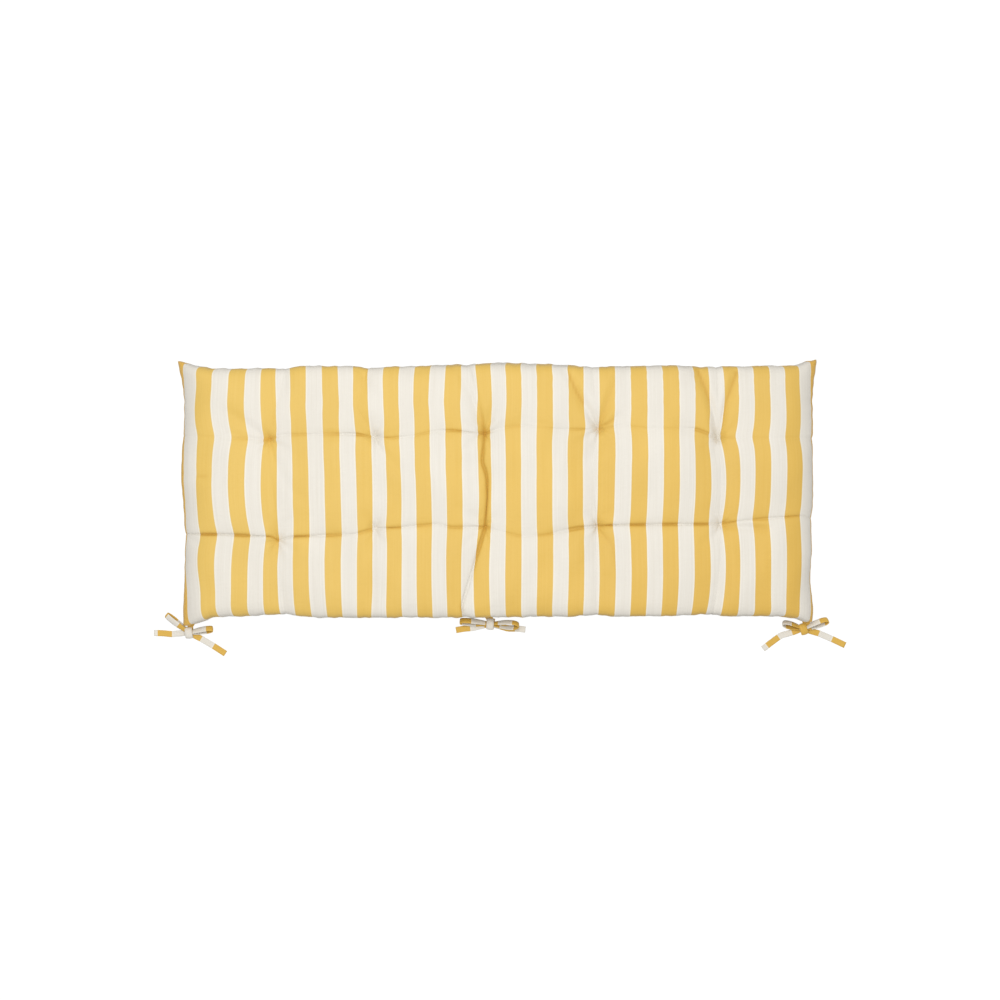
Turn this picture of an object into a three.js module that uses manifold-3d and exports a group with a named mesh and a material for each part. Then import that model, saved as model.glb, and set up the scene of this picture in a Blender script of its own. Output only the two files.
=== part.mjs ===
// A tufted bench cushion with tied bows on its front seam.
// Sizes are in millimetres. X runs along the bench, Y from the front seam to the back seam, Z up.
// The origin lies on the flat underside, at the middle of the cushion.

import * as THREE from "three";
import { mergeVertices } from "three/addons/utils/BufferGeometryUtils.js";
import Module from "manifold-3d";

// Filling and seam
const CROWN_HEIGHT = 63;
const SEAM_HEIGHT = 25;
const SEAM_HEIGHT_AT_TIP = 13;
const SEAM_DROP_RUN = 70;
const TOP_RISE_RUN = 88;
const UNDERSIDE_CURVE_RUN = 62;
const PUFF_DOME = 5;

// Tufts through the filling
const TUFT_DEPTH = 25;
const TUFT_RADIUS = 52;
const UNDERSIDE_DIMPLE = 7;
const UNDERSIDE_DIMPLE_RADIUS = 34;
const TUFT_HOLLOWNESS = 1.7;
const CREASE_HOLLOWNESS = 1.5;

// Pointed corners
const EAR_RUN = 26;

// Grid of the cushion's surface: divisions of each bay between neighbouring lines
const COLUMN_DIVISIONS = 12;
const ROW_DIVISIONS = [9, 10, 10];
const EDGE_CROWDING = 0.55;

// Ties
const TAPE_WIDTH = 10.5;
const TAPE_THICKNESS = 1.6;
const PIECE_GAP = 0.4;
const SEAM_GAP = 0.5;
const KNOT_LENGTH = 12;
const KNOT_WALL = 2.4;
const CORE_WIDTH = 9.2;
const CORE_HEIGHT = 4.6;
const CORE_OVERHANG = 2.6;
const LEAD_ASIDE = 6;
const LEAD_START_RUN = 2.5;
const LOOP_TOP = 10.5;
const LOOP_END_RADIUS = 4;
const ROOT_RUN = 4;
const FLOOR_GAP = 0.3;
const STEPS_PER_SPAN = 4;

// Cloth
const CLOTH_COLOUR = 0xefdfae;
const TIE_COLOUR = 0xe9cf7c;
const CLOTH_ROUGHNESS = 0.92;

// Column lines from the left seam to the right seam, each through its rear and fore tuft.
// backBulge and frontBulge are how far the bay on a line's right swells past the line of the seam.
const COLUMNS = [
  { xBack: -586, yBack: 229, xRear: -583, yRear: 104, xFore: -580, yFore: -95, xFront: -581, yFront: -236,
    backBulge: 0, frontBulge: 1 },
  { xBack: -397, yBack: 225, xRear: -425, yRear: 97, xFore: -410, yFore: -91, xFront: -395, yFront: -230,
    backBulge: 5, frontBulge: 2 },
  { xBack: -242, yBack: 230, xRear: -228, yRear: 102, xFore: -228, yFore: -68, xFront: -236, yFront: -235,
    backBulge: 3, frontBulge: 3 },
  { xBack: -47, yBack: 231, xRear: -23, yRear: 108, xFore: -22, yFore: -66, xFront: -62, yFront: -235,
    backBulge: 7, frontBulge: 3 },
  { xBack: 178, yBack: 231, xRear: 190, yRear: 117, xFore: 187, yFore: -63, xFront: 187, yFront: -234,
    backBulge: 3, frontBulge: 3 },
  { xBack: 410, yBack: 231, xRear: 413, yRear: 101, xFore: 415, yFore: -61, xFront: 402, yFront: -230,
    backBulge: 3, frontBulge: 2 },
  { xBack: 588, yBack: 232, xRear: 590, yRear: 100, xFore: 589, yFore: -50, xFront: 586, yFront: -232,
    backBulge: 0, frontBulge: 0 },
];

// Swelling of the two side seams in the rear, middle and fore bays
const LEFT_BULGE = [2, 8, 6];
const RIGHT_BULGE = [4, 4, 3];

// How far each corner's pointed tip stands out of the corner of the net
const EARS = [
  { column: 0, row: 0, dx: -13, dy: 15 },
  { column: 6, row: 0, dx: 12, dy: 16 },
  { column: 0, row: 3, dx: -5, dy: -12 },
  { column: 6, row: 3, dx: 7, dy: -12 },
];

// Creases drawn between tufts and seams: the trough's line, its depth and its half width
const CREASES = [
  { depth: 7, width: 26, line: [[-504, 149], [-425, 97]] },
  { depth: 8, width: 24, line: [[-425, 97], [-406, 105], [-324, 107], [-264, 107], [-228, 102]] },
  { depth: 7, width: 24, line: [[-228, 102], [-197, 100], [-155, 103], [-116, 113], [-82, 114], [-23, 108]] },
  { depth: 7, width: 24, line: [[-23, 108], [6, 118], [43, 123], [77, 121], [114, 116], [190, 117]] },
  { depth: 7, width: 24, line: [[190, 117], [228, 123], [277, 118], [369, 117], [413, 101]] },
  { depth: 9, width: 26, line: [[-580, -80], [-513, -80], [-419, -84], [-410, -91]] },
  { depth: 10, width: 28, line: [[-410, -91], [-378, -84], [-264, -80], [-228, -68]] },
  { depth: 9, width: 26, line: [[-228, -68], [-183, -67], [-109, -60], [-88, -67], [-22, -66]] },
  { depth: 10, width: 28, line: [[-22, -66], [46, -84], [94, -80], [140, -70], [187, -63]] },
  { depth: 9, width: 26, line: [[187, -63], [329, -61], [415, -61]] },
  { depth: 9, width: 26, line: [[415, -61], [464, -53], [565, -45], [589, -50]] },
  { depth: 7, width: 22, line: [[-397, 225], [-406, 176], [-425, 97]] },
  { depth: 6, width: 24, line: [[-425, 97], [-409, 48], [-386, 7], [-365, -13]] },
  { depth: 7, width: 24, line: [[-410, -91], [-409, -134], [-395, -230]] },
  { depth: 5, width: 26, line: [[-242, 230], [-264, 156], [-228, 102]] },
  { depth: 6, width: 24, line: [[-228, 102], [-204, 61], [-176, 35]] },
  { depth: 5, width: 26, line: [[-228, -68], [-234, -121], [-236, -235]] },
  { depth: 7, width: 22, line: [[-72, 229], [-49, 183], [-23, 108]] },
  { depth: 7, width: 22, line: [[7, 233], [6, 190], [-23, 108]] },
  { depth: 8, width: 24, line: [[-23, 108], [-28, 55], [-18, 27], [-18, -12], [-22, -66]] },
  { depth: 10, width: 26, line: [[-22, -66], [-38, -121], [-66, -214], [-60, -235]] },
  { depth: 8, width: 24, line: [[127, 226], [147, 190], [190, 117]] },
  { depth: 7, width: 24, line: [[228, 226], [208, 176], [190, 117]] },
  { depth: 7, width: 24, line: [[190, 117], [178, 55], [184, -12], [187, -63]] },
  { depth: 5, width: 26, line: [[187, -63], [183, -147], [183, -229]] },
  { depth: 10, width: 26, line: [[380, 226], [393, 190], [413, 101]] },
  { depth: 6, width: 22, line: [[444, 226], [427, 169], [413, 101]] },
  { depth: 7, width: 24, line: [[413, 101], [417, 40], [417, -7], [415, -61]] },
  { depth: 9, width: 26, line: [[415, -61], [417, -121], [410, -188], [402, -230]] },
];

// Bows on the front seam: the knot's centre, the middle of its two leads on the seam, and the ends of the
// loops and tails in plan, measured from the knot. throughSide is the side on which the lead of the tie
// that passes through the knot lies, and open is how far a loop's two layers lie apart in plan.
const BOWS = [
  {
    name: "left", x: -577, y: -263, leadX: -572, throughSide: 1,
    leftLoop: { dx: -45, dy: 34, open: 1 }, rightLoop: { dx: 43, dy: 4, open: 1 },
    leftTail: [[-34, -3], [-66, -1]], rightTail: [[30, -19], [71, -41]],
  },
  {
    name: "middle", x: -13, y: -253, leadX: -19, throughSide: -1,
    leftLoop: { dx: -58, dy: 6, open: 4 }, rightLoop: { dx: 54, dy: 2, open: 5 },
    leftTail: [[-34, -8], [-65, -9]], rightTail: [[36, -9], [67, -8]],
  },
  {
    name: "right", x: 586, y: -263, leadX: 580, throughSide: -1,
    leftLoop: { dx: -51, dy: 13, open: 4 }, rightLoop: { dx: 38, dy: 17, open: 4 },
    leftTail: [[-46, -13], [-90, -34]], rightTail: [[32, -16], [69, -28]],
  },
];

const COLUMN_BAYS = COLUMNS.length - 1;
const ROW_NAMES = ["Back", "Rear", "Fore", "Front"];
const ROW_BAYS = ROW_NAMES.length - 1;
const X_AXIS = new THREE.Vector3(1, 0, 0);
const Y_AXIS = new THREE.Vector3(0, 1, 0);

function mix(a, b, share) {
  return a + (b - a) * share;
}

// Zero at both ends of a bay and one in its middle.
function swell(share) {
  return 4 * share * (1 - share);
}

// One on a seam, falling to zero one bay inside it.
function fade(distance) {
  return Math.max(0, 1 - distance) ** 2;
}

function bayOf(position, bays) {
  const bay = Math.min(Math.floor(position), bays - 1);
  return { bay, share: position - bay };
}

function netCorner(column, row) {
  const line = COLUMNS[column];
  return [line["x" + ROW_NAMES[row]], line["y" + ROW_NAMES[row]]];
}

// The plan position at s columns from the left seam and t rows from the back seam: straight between the
// net's lines, swollen at the seams of each bay, and drawn out to a point at each corner.
function planPoint(s, t) {
  const column = bayOf(s, COLUMN_BAYS);
  const row = bayOf(t, ROW_BAYS);
  const ends = [0, 1].map((step) => {
    const near = netCorner(column.bay, row.bay + step);
    const far = netCorner(column.bay + 1, row.bay + step);
    return [mix(near[0], far[0], column.share), mix(near[1], far[1], column.share)];
  });
  const x = mix(ends[0][0], ends[1][0], row.share);
  const y = mix(ends[0][1], ends[1][1], row.share);
  const line = COLUMNS[column.bay];
  let dx = swell(row.share) * (RIGHT_BULGE[row.bay] * fade(COLUMN_BAYS - s) - LEFT_BULGE[row.bay] * fade(s));
  let dy = swell(column.share) * (line.backBulge * fade(t) - line.frontBulge * fade(ROW_BAYS - t));
  for (const ear of EARS) {
    const corner = netCorner(ear.column, ear.row);
    const pull = Math.exp(-Math.hypot(x - corner[0], y - corner[1]) / EAR_RUN);
    dx += ear.dx * pull;
    dy += ear.dy * pull;
  }
  return [x + dx, y + dy];
}

// A quarter of an ellipse: zero on the seam, one from the given run inwards.
function rise(distance, run) {
  const left = 1 - Math.min(Math.max(distance, 0) / run, 1);
  return Math.sqrt(1 - left * left);
}

function distanceToSegment(x, y, from, to) {
  const length2 = (to[0] - from[0]) ** 2 + (to[1] - from[1]) ** 2;
  const along = ((x - from[0]) * (to[0] - from[0]) + (y - from[1]) * (to[1] - from[1])) / length2;
  const share = Math.min(Math.max(along, 0), 1);
  return Math.hypot(x - mix(from[0], to[0], share), y - mix(from[1], to[1], share));
}

// The deepest crease at a point: each is a trough that fades out at its half width.
function creaseDepth(x, y) {
  let deepest = 0;
  for (const crease of CREASES) {
    for (let i = 1; i < crease.line.length; i++) {
      const aside = distanceToSegment(x, y, crease.line[i - 1], crease.line[i]) / crease.width;
      deepest = Math.max(deepest, crease.depth * Math.max(0, 1 - aside) ** CREASE_HOLLOWNESS);
    }
  }
  return deepest;
}

const TUFTS = COLUMNS.slice(1, -1).flatMap((line) => [
  [line.xRear, line.yRear],
  [line.xFore, line.yFore],
]);

// How far the nearest tuft draws a surface in, as a cone with hollow sides.
function tuftPull(x, y, depth, radius) {
  const nearest = Math.min(...TUFTS.map((tuft) => Math.hypot(x - tuft[0], y - tuft[1])));
  return depth * Math.max(0, 1 - nearest / radius) ** TUFT_HOLLOWNESS;
}

const TIPS = EARS.map((ear) => planPoint(ear.column, ear.row));

function seamHeight(x, y) {
  const nearest = Math.min(...TIPS.map((tip) => Math.hypot(x - tip[0], y - tip[1])));
  return SEAM_HEIGHT - (SEAM_HEIGHT - SEAM_HEIGHT_AT_TIP) * Math.exp(-nearest / SEAM_DROP_RUN);
}

// Plan position, seam height and the heights of the top and the underside at a point of the net.
function cushionPoint(s, t) {
  const [x, y] = planPoint(s, t);
  const inward = [
    planPoint(s, 0)[1] - y,
    y - planPoint(s, ROW_BAYS)[1],
    x - planPoint(0, t)[0],
    planPoint(COLUMN_BAYS, t)[0] - x,
  ];
  const product = (run) => inward.reduce((all, distance) => all * rise(distance, run), 1);
  const seam = seamHeight(x, y);
  const fullness = product(TOP_RISE_RUN);
  const puff = Math.sqrt(swell(bayOf(s, COLUMN_BAYS).share) * swell(bayOf(t, ROW_BAYS).share));
  const sunk = creaseDepth(x, y) + PUFF_DOME * (1 - puff);
  const drawn = tuftPull(x, y, TUFT_DEPTH, TUFT_RADIUS) + sunk * fullness;
  const underside = seam * (1 - product(UNDERSIDE_CURVE_RUN));
  return {
    x,
    y,
    seam,
    top: seam + (CROWN_HEIGHT - seam) * fullness - drawn,
    underside: underside + tuftPull(x, y, UNDERSIDE_DIMPLE, UNDERSIDE_DIMPLE_RADIUS),
  };
}

// Positions of the grid lines, closer together beside the net's own lines.
function gridLines(divisions) {
  const lines = divisions.flatMap((count, bay) =>
    Array.from({ length: count }, (_, i) => {
      const share = i / count;
      return bay + share - (EDGE_CROWDING * Math.sin(2 * Math.PI * share)) / (2 * Math.PI);
    }),
  );
  return [...lines, divisions.length];
}

function geometryOf(positions, index) {
  const geometry = new THREE.BufferGeometry();
  geometry.setAttribute("position", new THREE.Float32BufferAttribute(positions, 3));
  geometry.setIndex(index);
  geometry.computeVertexNormals();
  return geometry;
}

// The filled cover as one closed surface: a top and an underside on the same grid, joined on the seam.
function cushionGeometry() {
  const across = gridLines(Array(COLUMN_BAYS).fill(COLUMN_DIVISIONS));
  const down = gridLines(ROW_DIVISIONS);
  const lastColumn = across.length - 1;
  const lastRow = down.length - 1;
  const positions = [];
  const top = [];
  const underside = [];
  const addVertex = (x, y, z) => positions.push(x, y, z) / 3 - 1;
  down.forEach((t, j) =>
    across.forEach((s, i) => {
      const point = cushionPoint(s, t);
      const onSeam = i === 0 || j === 0 || i === lastColumn || j === lastRow;
      top.push(addVertex(point.x, point.y, onSeam ? point.seam : point.top));
      underside.push(onSeam ? top[top.length - 1] : addVertex(point.x, point.y, point.underside));
    }),
  );
  const index = [];
  const corners = new Set([0, lastColumn - 1, (lastRow - 1) * lastColumn, lastRow * lastColumn - 1]);
  for (let j = 0; j < lastRow; j++) {
    for (let i = 0; i < lastColumn; i++) {
      const [a, b, c, d] = [j, j + 1].flatMap((row) => [i, i + 1].map((column) => row * across.length + column));
      // A corner's quad is always split from its pointed tip, so that its two layers stay apart.
      const cornerQuad = corners.has(j * lastColumn + i);
      const tipOnFirstDiagonal = (i === 0) === (j === 0);
      const firstDiagonal = cornerQuad ? tipOnFirstDiagonal : (i + j) % 2 === 0;
      const faces = firstDiagonal ? [[a, c, d], [a, d, b]] : [[a, c, b], [b, c, d]];
      for (const [p, q, r] of faces) {
        index.push(top[p], top[q], top[r]);
        index.push(underside[p], underside[r], underside[q]);
      }
    }
  }
  return geometryOf(positions, index);
}

const wasm = await Module();
wasm.setup();

function solidOf(geometry) {
  const bare = geometry.clone();
  bare.deleteAttribute("normal");
  bare.deleteAttribute("uv");
  const merged = mergeVertices(bare, 1e-4);
  return new wasm.Manifold(
    new wasm.Mesh({
      numProp: 3,
      vertProperties: new Float32Array(merged.attributes.position.array),
      triVerts: new Uint32Array(merged.index.array),
    }),
  );
}

function joined(geometries) {
  const whole = geometries.map(solidOf).reduce((all, next) => all.add(next));
  const mesh = whole.getMesh();
  return geometryOf(Array.from(mesh.vertProperties), Array.from(mesh.triVerts));
}

const SECTION_CORNERS = [[-1, -1], [1, -1], [1, 1], [-1, 1]];

// A flat tape swept through stations, each with the tape's centre and the direction of its width.
function tapeGeometry(stations) {
  const curve = new THREE.CatmullRomCurve3(stations.map((station) => station.at));
  const steps = (stations.length - 1) * STEPS_PER_SPAN;
  const positions = [];
  for (let i = 0; i <= steps; i++) {
    const centre = curve.getPoint(i / steps);
    const along = curve.getTangent(i / steps);
    const span = bayOf(i / STEPS_PER_SPAN, stations.length - 1);
    const across = stations[span.bay].across.clone().lerp(stations[span.bay + 1].across, span.share);
    across.addScaledVector(along, -across.dot(along)).normalize();
    const upward = along.clone().cross(across);
    for (const [aside, above] of SECTION_CORNERS) {
      const corner = centre.clone();
      corner.addScaledVector(across, (aside * TAPE_WIDTH) / 2);
      corner.addScaledVector(upward, (above * TAPE_THICKNESS) / 2);
      positions.push(corner.x, corner.y, corner.z);
    }
  }
  const index = [0, 2, 1, 0, 3, 2];
  for (let i = 0; i < steps; i++) {
    for (let k = 0; k < 4; k++) {
      const [a, b] = [4 * i + k, 4 * i + ((k + 1) % 4)];
      index.push(a, b, b + 4, a, b + 4, a + 4);
    }
  }
  const end = 4 * steps;
  index.push(end, end + 1, end + 2, end, end + 2, end + 3);
  return geometryOf(positions, index);
}

function station(x, y, z, across) {
  return { at: new THREE.Vector3(x, y, z), across };
}

const KNOT_WIDTH = CORE_WIDTH + 2 * (PIECE_GAP + KNOT_WALL);
const KNOT_HEIGHT = CORE_HEIGHT + 2 * (PIECE_GAP + KNOT_WALL);
const FLOOR_LAYER = FLOOR_GAP + TAPE_THICKNESS / 2;
const KNOT_CENTRE = 2 * FLOOR_GAP + KNOT_HEIGHT / 2;
const SECOND_LAYER = FLOOR_LAYER + TAPE_THICKNESS + PIECE_GAP;

// A loop from the knot out to its end and back, its width level and square to the way it points. Like a
// tail or a lead it runs straight for a little where it meets the knot.
function loopGeometry(loop, start, upper, lower) {
  const length = Math.hypot(loop.dx, loop.dy);
  const across = new THREE.Vector3(-loop.dy, loop.dx, 0).normalize();
  if (across.y < 0) across.negate();
  const place = (share, aside, z) =>
    station(
      mix(start, loop.dx, share) + (aside * across.x * loop.open) / 2,
      loop.dy * share + (aside * across.y * loop.open) / 2,
      z,
      across,
    );
  const beside = (reach, z) => station(start + Math.sign(start) * reach, 0, z, Y_AXIS);
  const nearEnd = 1 - LOOP_END_RADIUS / length;
  return tapeGeometry([
    beside(0, upper),
    beside(ROOT_RUN / 2, upper),
    beside(ROOT_RUN, upper),
    place(0.3, 1, Math.max(upper, mix(KNOT_CENTRE, LOOP_TOP, 0.5))),
    place(0.6, 1, LOOP_TOP),
    place(nearEnd, 1, LOOP_TOP - 1.2),
    place(1, 0, (LOOP_TOP + SECOND_LAYER) / 2),
    place(nearEnd, -1, SECOND_LAYER + 0.9),
    place(0.6, -1, SECOND_LAYER + 0.6),
    place(0.3, -1, lower),
    beside(ROOT_RUN, lower),
    beside(ROOT_RUN / 2, lower),
    beside(0, lower),
  ]);
}

// A tail from the knot down to the floor and out to its free end.
function tailGeometry(tail, start, z) {
  const [bend, end] = tail;
  const square = (dx, dy) => new THREE.Vector3(-dy, dx, 0).normalize().multiplyScalar(Math.sign(dx));
  const first = square(bend[0], bend[1]);
  const last = square(end[0] - bend[0], end[1] - bend[1]);
  return tapeGeometry([
    station(start, 0, z, Y_AXIS),
    station(start + (Math.sign(start) * ROOT_RUN) / 2, 0, z, Y_AXIS),
    station(start + Math.sign(start) * ROOT_RUN, 0, z, Y_AXIS),
    station(mix(start, bend[0], 0.35), bend[1] * 0.25, mix(z, FLOOR_LAYER, 0.7), first),
    station(mix(start, bend[0], 0.65), bend[1] * 0.6, FLOOR_LAYER, first),
    station(bend[0], bend[1], FLOOR_LAYER, first.clone().add(last).normalize()),
    station(end[0], end[1], FLOOR_LAYER, last),
  ]);
}

// The seam's height and its furthest reach to the front over the width of a tape.
function frontSeamAt(x) {
  const reach = [-0.5, 0, 0.5].map((share) => {
    const wanted = x + share * TAPE_WIDTH;
    let [low, high] = [0, COLUMN_BAYS];
    for (let i = 0; i < 40; i++) {
      const middle = (low + high) / 2;
      if (planPoint(middle, ROW_BAYS)[0] < wanted) low = middle;
      else high = middle;
    }
    return planPoint(low, ROW_BAYS)[1];
  });
  const y = Math.min(...reach);
  return { y, z: seamHeight(x, y) };
}

// A lead from the seam down to the knot, square to the seam where it leaves it.
function leadGeometry(bow, aside, knotX, knotY, knotZ) {
  const x = bow.leadX + aside;
  const seam = frontSeamAt(x);
  const y = seam.y - SEAM_GAP - bow.y;
  return tapeGeometry([
    station(x - bow.x, y, seam.z, X_AXIS),
    station(x - bow.x, y - LEAD_START_RUN, seam.z - 0.3, X_AXIS),
    station(mix(x - bow.x, knotX, 0.6), mix(y, KNOT_WIDTH / 2, 0.5), mix(seam.z, knotZ, 0.4), X_AXIS),
    station(knotX, knotY + ROOT_RUN, knotZ, X_AXIS),
    station(knotX, knotY + ROOT_RUN / 2, knotZ, X_AXIS),
    station(knotX, knotY, knotZ, X_AXIS),
  ]);
}

function coreGeometry() {
  const core = new THREE.BoxGeometry(KNOT_LENGTH + 2 * CORE_OVERHANG, CORE_WIDTH, CORE_HEIGHT);
  return core.translate(0, 0, KNOT_CENTRE);
}

function roundedRectangle(width, height, radius, target) {
  const [x, y] = [width / 2, height / 2];
  target.moveTo(x, y - radius);
  target.absarc(x - radius, y - radius, radius, 0, Math.PI / 2);
  target.absarc(radius - x, y - radius, radius, Math.PI / 2, Math.PI);
  target.absarc(radius - x, radius - y, radius, Math.PI, 1.5 * Math.PI);
  target.absarc(x - radius, radius - y, radius, 1.5 * Math.PI, 2 * Math.PI);
  return target;
}

// The turn of tape round the knot's core.
function wrapGeometry() {
  const shape = roundedRectangle(KNOT_WIDTH, KNOT_HEIGHT, 2.6, new THREE.Shape());
  const hole = roundedRectangle(CORE_WIDTH + 2 * PIECE_GAP, CORE_HEIGHT + 2 * PIECE_GAP, 0.3, new THREE.Path());
  shape.holes.push(hole);
  const wrap = new THREE.ExtrudeGeometry(shape, { depth: KNOT_LENGTH, bevelEnabled: false, curveSegments: 3 });
  wrap.translate(0, 0, -KNOT_LENGTH / 2);
  wrap.applyMatrix4(new THREE.Matrix4().set(0, 0, 1, 0, 1, 0, 0, 0, 0, 1, 0, KNOT_CENTRE, 0, 0, 0, 1));
  return wrap;
}

// The tie that passes through the knot: lead, core, left loop and right tail.
function throughTie(bow) {
  const end = KNOT_LENGTH / 2 + CORE_OVERHANG - 0.6;
  const layer = CORE_HEIGHT / 2 - TAPE_THICKNESS / 2 - 0.6;
  const beside = KNOT_LENGTH / 2 + TAPE_WIDTH / 2 + 2 * PIECE_GAP;
  return joined([
    coreGeometry(),
    loopGeometry(bow.leftLoop, -end, KNOT_CENTRE + layer, KNOT_CENTRE - layer),
    tailGeometry(bow.rightTail, end, KNOT_CENTRE),
    leadGeometry(bow, bow.throughSide * LEAD_ASIDE, bow.throughSide * beside, 2.5, KNOT_CENTRE + 0.3),
  ]);
}

// The tie that goes round the knot: lead, wrap, right loop and left tail.
function roundTie(bow) {
  const end = KNOT_LENGTH / 2 - 1.5;
  const over = KNOT_CENTRE + KNOT_HEIGHT / 2;
  const under = KNOT_CENTRE - KNOT_HEIGHT / 2;
  return joined([
    wrapGeometry(),
    loopGeometry(bow.rightLoop, end, over + 0.55, over - KNOT_WALL / 2),
    tailGeometry(bow.leftTail, -end, under + KNOT_WALL / 2),
    leadGeometry(bow, -bow.throughSide * LEAD_ASIDE, 0, KNOT_WIDTH / 2 - 0.8, KNOT_CENTRE + 1),
  ]);
}

function meshOf(name, geometry, colour) {
  const material = new THREE.MeshStandardMaterial({ color: colour, roughness: CLOTH_ROUGHNESS, metalness: 0 });
  const mesh = new THREE.Mesh(geometry, material);
  mesh.name = name;
  return mesh;
}

const cushion = new THREE.Group();
cushion.add(meshOf("cushion", cushionGeometry(), CLOTH_COLOUR));
for (const bow of BOWS) {
  const place = new THREE.Group();
  place.position.set(bow.x, bow.y, 0);
  place.add(meshOf(`tie_${bow.name}_a`, throughTie(bow), TIE_COLOUR));
  place.add(meshOf(`tie_${bow.name}_b`, roundTie(bow), TIE_COLOUR));
  cushion.add(place);
}

export default cushion;
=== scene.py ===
"""A tufted bench cushion in striped cotton, with bows tied along its front seam.

Lengths in the tables are millimetres, turned into metres by MM. X runs along the cushion, Y from the front
seam to the back seam and Z up. The origin is the middle of the flat underside.
"""

import math
from collections import namedtuple

import bpy
import numpy as np
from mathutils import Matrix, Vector


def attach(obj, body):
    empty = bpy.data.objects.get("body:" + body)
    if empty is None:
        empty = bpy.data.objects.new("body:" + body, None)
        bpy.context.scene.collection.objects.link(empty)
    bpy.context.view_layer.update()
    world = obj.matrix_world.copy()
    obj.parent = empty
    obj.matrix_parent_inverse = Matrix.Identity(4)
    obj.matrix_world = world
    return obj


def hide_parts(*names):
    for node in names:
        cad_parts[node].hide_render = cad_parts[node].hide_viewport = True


bl_info = {
    "name": "Bench cushion",
    "version": (1, 0, 0),
    "blender": (4, 5, 0),
    "location": "3D View > Sidebar > Cushion",
    "description": "Builds a tufted, striped bench cushion with its bows, and a studio round it",
    "category": "Object",
}

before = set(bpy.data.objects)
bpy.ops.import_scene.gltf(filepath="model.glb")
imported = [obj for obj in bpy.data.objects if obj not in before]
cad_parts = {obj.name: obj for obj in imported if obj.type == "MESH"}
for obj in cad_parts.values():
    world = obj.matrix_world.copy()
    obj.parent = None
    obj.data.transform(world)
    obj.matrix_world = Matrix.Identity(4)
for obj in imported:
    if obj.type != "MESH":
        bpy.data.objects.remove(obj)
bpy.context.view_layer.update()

MM = 0.001
SEED = 7
UP = np.array([0, 0, 1.0])

# Net of the cover. Each line runs from the back seam through a rear and a fore tuft to the front seam. A point is
# its x and y on the cushion and its u along the flat panel. The bulges are how far the bay on the line's right
# swells past the seam.
Line = namedtuple("Line", "back rear fore front back_bulge front_bulge")
LINES = (
    Line((-587, 231, -6), (-587, 104, -6), (-583, -95, -6), (-586, -236, -6), 1, 1),
    Line((-397, 230, 210), (-425, 97, 175), (-410, -91, 190), (-395, -230, 200), 6, 5),
    Line((-242, 231, 374), (-228, 102, 381), (-228, -68, 377), (-236, -235, 371), 2, 2),
    Line((-47, 238, 577), (-23, 108, 602), (-22, -66, 601), (-62, -235, 558), 5, 2),
    Line((178, 232, 813), (190, 117, 826), (187, -63, 825), (187, -232, 826), 4, 3),
    Line((410, 233, 1057), (413, 101, 1062), (415, -61, 1066), (402, -230, 1048), 3, 4),
    Line((588, 232, 1266), (590, 100, 1266), (589, -50, 1266), (586, -232, 1266), 0, 0),
)
COLUMN_BAYS = len(LINES) - 1
ROW_BAYS = 3

# Height v of the four rows on the flat panel, and the plan y from which a tuft's own v is reckoned
PANEL_V = (530, 374, 190, -4)
ROW_Y = (230, 105, -66, -235)

# How far the stripes have slipped along the panel at the net's points and the middles of its bays. Each line
# runs from the left seam to the right one, and the lines from the back seam to the front one.
SLIP = np.array(
    (
        (0, -10, 6, 0, -3, -6, -3, 0, -1, -2, -1, 6, 0),
        (9, 2, 1, 0, 0, 0, -6, 0, -1, -3, -4, -2, -3),
        (3, -4, -2, 0, 0, 3, 0, 1, 1, -2, 3, -2, -3),
        (0, 0, 1, -1, -2, 3, -3, 1, 2, -6, -10, -3, -9),
        (4, -5, -3, -1, 1, 2, 0, 0, 1, -4, -1, -2, -5),
        (8, -2, 4, 1, -2, 0, 2, -2, -3, -5, -9, -4, -8),
        (6, -4, 3, -3, 0, -4, -3, -2, -1, -2, 3, -2, -14),
    ),
    float,
)

# Swelling of the side seams in the rear, middle and fore bays
LEFT_BULGE = (1, 7, 2)
RIGHT_BULGE = (4, 4, 3)

# How far each corner's pointed tip stands out of the corner of the net, how much cloth is added to it, and the
# run and the power with which it dies out
Ear = namedtuple("Ear", "column row dx dy cloth run power")
EARS = (
    Ear(0, 0, -14, 15, -11, 25, 1.9),
    Ear(COLUMN_BAYS, 0, 13, 17, 14, 28, 1.6),
    Ear(0, ROW_BAYS, -4, -17, -17, 40, 2.8),
    Ear(COLUMN_BAYS, ROW_BAYS, 8, -14, 20, 30, 1.6),
)
EAR_CLOTH_SPREAD = 1.7

# Folds between the puffs, as x, y and depth: row folds from the left seam to the right one along the rear and the
# fore tufts, column folds from the back seam to the front one, and how keen the column folds are.
ROW_FOLDS = (
    (
        (-583, 104, 0), (-500, 101, 1), (-425, 97, 4), (-406, 105, 3), (-324, 107, 2.5), (-264, 107, 8),
        (-228, 102, 5), (-197, 100, 4), (-155, 103, 2), (-116, 113, 3), (-82, 114, 6), (-23, 108, 6),
        (6, 118, 2), (43, 123, 2), (77, 121, 1), (114, 116, 1.5), (150, 116, 3), (190, 117, 4), (228, 123, 1.5),
        (277, 118, 1), (340, 118, 1.5), (369, 117, 6), (413, 101, 3), (470, 100, 1), (590, 100, 0),
    ),
    (
        (-580, -80, 11), (-513, -80, 9), (-419, -84, 7), (-410, -91, 7), (-378, -84, 8.5), (-264, -80, 4),
        (-228, -68, 5), (-183, -67, 6), (-109, -60, 4), (-88, -67, 5), (-22, -66, 6), (6, -74, 2.5),
        (46, -84, 3), (94, -80, 4), (140, -70, 7), (187, -63, 9), (329, -61, 8.5), (415, -61, 8),
        (464, -53, 4), (565, -45, 5.5), (589, -50, 8),
    ),
)
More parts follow.
